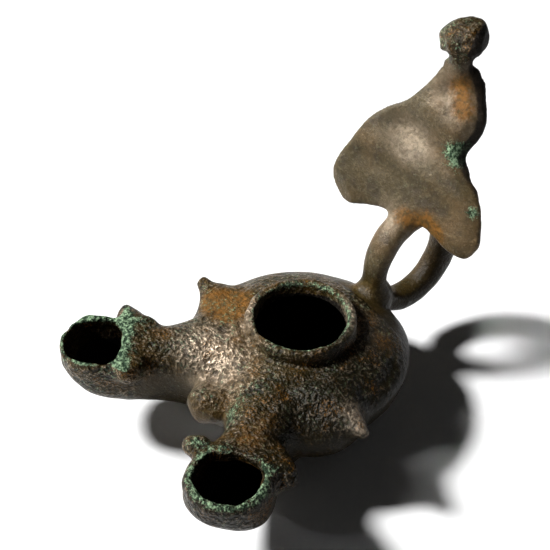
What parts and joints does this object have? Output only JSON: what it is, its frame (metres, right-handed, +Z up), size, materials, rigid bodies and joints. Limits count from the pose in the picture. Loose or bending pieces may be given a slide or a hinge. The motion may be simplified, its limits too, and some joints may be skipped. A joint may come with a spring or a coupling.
{
  "type": "roman oil lamp",
  "caption": "Cast bronze oil lamp with a round body, a filling hole, two splayed nozzles, pointed ears, and a ring handle that carries a leaf plate and a ball.",
  "frame": {"origin": "centre of the flat underside of the foot", "axes": "+Z up, square to the foot; -Y to the front, midway between the two nozzles; +Y to the ring handle; +X to the right, seen from the front"},
  "size_m": [0.0902, 0.1352, 0.116],
  "materials": {
    "bronze": "dark olive-brown corroded patina, half-gloss, with pale green crust on the rims"
  },
  "bodies": {
    "root": {"lamp_casting": "bronze"}
  },
  "joints": []
}
